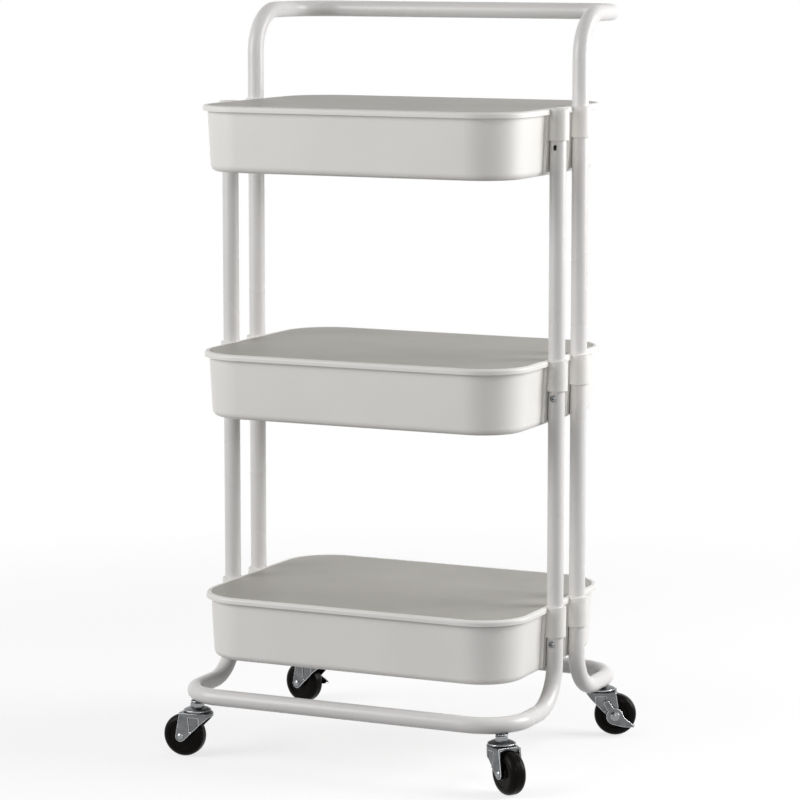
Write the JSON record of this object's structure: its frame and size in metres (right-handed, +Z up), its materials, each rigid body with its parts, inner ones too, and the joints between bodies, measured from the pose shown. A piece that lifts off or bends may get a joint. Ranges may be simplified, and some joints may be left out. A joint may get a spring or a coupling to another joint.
{
  "type": "rolling utility cart",
  "caption": "Tiered rolling utility cart: pressed trays with lift-off boards on a bent tube frame with push handle and swivel casters.",
  "frame": {"origin": "on the floor, under the middle of the cart", "axes": "+X along the long side of the trays, +Y towards the push handle, +Z up"},
  "size_m": [0.4699, 0.3565, 0.87],
  "materials": {
    "tray_paint": "off-white satin powder coat",
    "tube_paint": "off-white satin powder coat",
    "cover_board": "warm grey, matt, even",
    "cap_white": "off-white, satin moulded",
    "bright_screw": "bright nickel plate",
    "zinc_steel": "bright zinc plate, pressed",
    "wheel_rubber": "black, moulded, soft sheen"
  },
  "bodies": {
    "frame": {"tray_bottom": "tray_paint", "tray_middle": "tray_paint", "tray_top": "tray_paint", "base_tube_front": "tube_paint", "base_tube_rear": "tube_paint", "handle_tube": "tube_paint", "post_lower_front_left": "tube_paint", "post_lower_front_right": "tube_paint", "post_lower_rear_left": "tube_paint", "post_lower_rear_right": "tube_paint", "post_upper_front_left": "tube_paint", "post_upper_front_right": "tube_paint", "post_upper_rear_left": "tube_paint", "post_upper_rear_right": "tube_paint", "front_cap_left": "cap_white", "front_cap_right": "cap_white", "post_screws": "bright_screw", "stem_inserts": "zinc_steel", "caster_stem_front_left": "zinc_steel", "caster_race_front_left": "zinc_steel", "caster_balls_front_left": "zinc_steel", "caster_stem_front_right": "zinc_steel", "caster_race_front_right": "zinc_steel", "caster_balls_front_right": "zinc_steel", "caster_stem_rear_left": "zinc_steel", "caster_race_rear_left": "zinc_steel", "caster_balls_rear_left": "zinc_steel", "caster_stem_rear_right": "zinc_steel", "caster_race_rear_right": "zinc_steel", "caster_balls_rear_right": "zinc_steel"},
    "cover_bottom": {"cover_bottom": "cover_board"},
    "cover_middle": {"cover_middle": "cover_board"},
    "cover_top": {"cover_top": "cover_board"},
    "swivel_front_left": {"caster_fork_front_left": "zinc_steel", "caster_axle_front_left": "zinc_steel"},
    "wheel_front_left": {"caster_wheel_front_left": "wheel_rubber"},
    "swivel_front_right": {"caster_fork_front_right": "zinc_steel", "caster_axle_front_right": "zinc_steel"},
    "wheel_front_right": {"caster_wheel_front_right": "wheel_rubber"},
    "swivel_rear_left": {"caster_fork_rear_left": "zinc_steel", "caster_axle_rear_left": "zinc_steel"},
    "wheel_rear_left": {"caster_wheel_rear_left": "wheel_rubber"},
    "lever_rear_left": {"brake_lever_rear_left": "zinc_steel"},
    "swivel_rear_right": {"caster_fork_rear_right": "zinc_steel", "caster_axle_rear_right": "zinc_steel"},
    "wheel_rear_right": {"caster_wheel_rear_right": "wheel_rubber"},
    "lever_rear_right": {"brake_lever_rear_right": "zinc_steel"}
  },
  "joints": [
    {"name": "cover_bottom_lift", "type": "slide", "parent": "frame", "child": "cover_bottom", "axis": [0, 0, 1], "range_m": [0, 0.06]},
    {"name": "cover_middle_lift", "type": "slide", "parent": "frame", "child": "cover_middle", "axis": [0, 0, 1], "range_m": [0, 0.06]},
    {"name": "cover_top_lift", "type": "slide", "parent": "frame", "child": "cover_top", "axis": [0, 0, 1], "range_m": [0, 0.06]},
    {"name": "swivel_front_left", "type": "hinge", "parent": "frame", "child": "swivel_front_left", "pos_m": [-0.19285, -0.15135, 0.0536], "axis": [0, 0, 1], "continuous": true},
    {"name": "roll_front_left", "type": "hinge", "parent": "swivel_front_left", "child": "wheel_front_left", "pos_m": [-0.20882, -0.15247, 0.025], "axis": [0.0698, -0.9976, 0], "continuous": true},
    {"name": "swivel_front_right", "type": "hinge", "parent": "frame", "child": "swivel_front_right", "pos_m": [0.19285, -0.15135, 0.0536], "axis": [0, 0, 1], "continuous": true},
    {"name": "roll_front_right", "type": "hinge", "parent": "swivel_front_right", "child": "wheel_front_right", "pos_m": [0.20596, -0.16053, 0.025], "axis": [0.5736, 0.8192, 0], "continuous": true},
    {"name": "swivel_rear_left", "type": "hinge", "parent": "frame", "child": "swivel_rear_left", "pos_m": [-0.19285, 0.15135, 0.0536], "axis": [0, 0, 1], "continuous": true},
    {"name": "roll_rear_left", "type": "hinge", "parent": "swivel_rear_left", "child": "wheel_rear_left", "pos_m": [-0.20831, 0.1555, 0.025], "axis": [-0.2588, -0.9659, 0], "continuous": true},
    {"name": "brake_rear_left", "type": "hinge", "parent": "swivel_rear_left", "child": "lever_rear_left", "pos_m": [-0.20831, 0.1555, 0.025], "axis": [-0.2588, -0.9659, 0], "range_deg": [0, 18]},
    {"name": "swivel_rear_right", "type": "hinge", "parent": "frame", "child": "swivel_rear_right", "pos_m": [0.19285, 0.15135, 0.0536], "axis": [0, 0, 1], "continuous": true},
    {"name": "roll_rear_right", "type": "hinge", "parent": "swivel_rear_right", "child": "wheel_rear_right", "pos_m": [0.20789, 0.15683, 0.025], "axis": [-0.342, 0.9397, 0], "continuous": true},
    {"name": "brake_rear_right", "type": "hinge", "parent": "swivel_rear_right", "child": "lever_rear_right", "pos_m": [0.20789, 0.15683, 0.025], "axis": [0.342, -0.9397, 0], "range_deg": [0, 18]}
  ]
}
